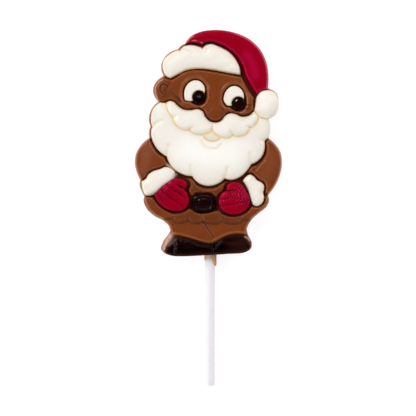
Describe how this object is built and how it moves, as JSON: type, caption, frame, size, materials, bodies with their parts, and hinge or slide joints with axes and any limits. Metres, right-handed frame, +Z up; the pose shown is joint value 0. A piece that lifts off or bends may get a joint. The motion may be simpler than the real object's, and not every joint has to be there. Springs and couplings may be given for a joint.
{
  "type": "chocolate lollipop",
  "caption": "Moulded milk chocolate lollipop of a bearded winter figure in a red hat, with white, red and dark chocolate inlays, on a round white stick.",
  "frame": {"origin": "bottom centre of the bounding box, on the flat back that the lollipop lies on", "axes": "+Z up out of the moulded relief, +Y along the stick's axis towards the hat, +X towards the pompom's side"},
  "size_m": [0.0588, 0.1424, 0.0094],
  "materials": {
    "milk_chocolate": "moulded milk chocolate, satin to glossy",
    "white_chocolate": "moulded white chocolate, waxy and faintly see-through",
    "red_chocolate": "moulded white chocolate coloured deep red, glossy",
    "dark_chocolate": "moulded dark chocolate, glossy",
    "stick_white": "smooth white stick, satin"
  },
  "bodies": {
    "root": {"milk_body": "milk_chocolate", "hat": "red_chocolate", "hat_trim": "white_chocolate", "pompom": "white_chocolate", "beard": "white_chocolate", "eye_white_left": "white_chocolate", "eye_white_right": "white_chocolate", "pupil_left": "dark_chocolate", "pupil_right": "dark_chocolate", "cuff_left": "white_chocolate", "cuff_right": "white_chocolate", "mitten_left": "red_chocolate", "mitten_right": "red_chocolate", "buckle": "dark_chocolate", "shoes": "dark_chocolate", "stick": "stick_white"}
  },
  "joints": []
}
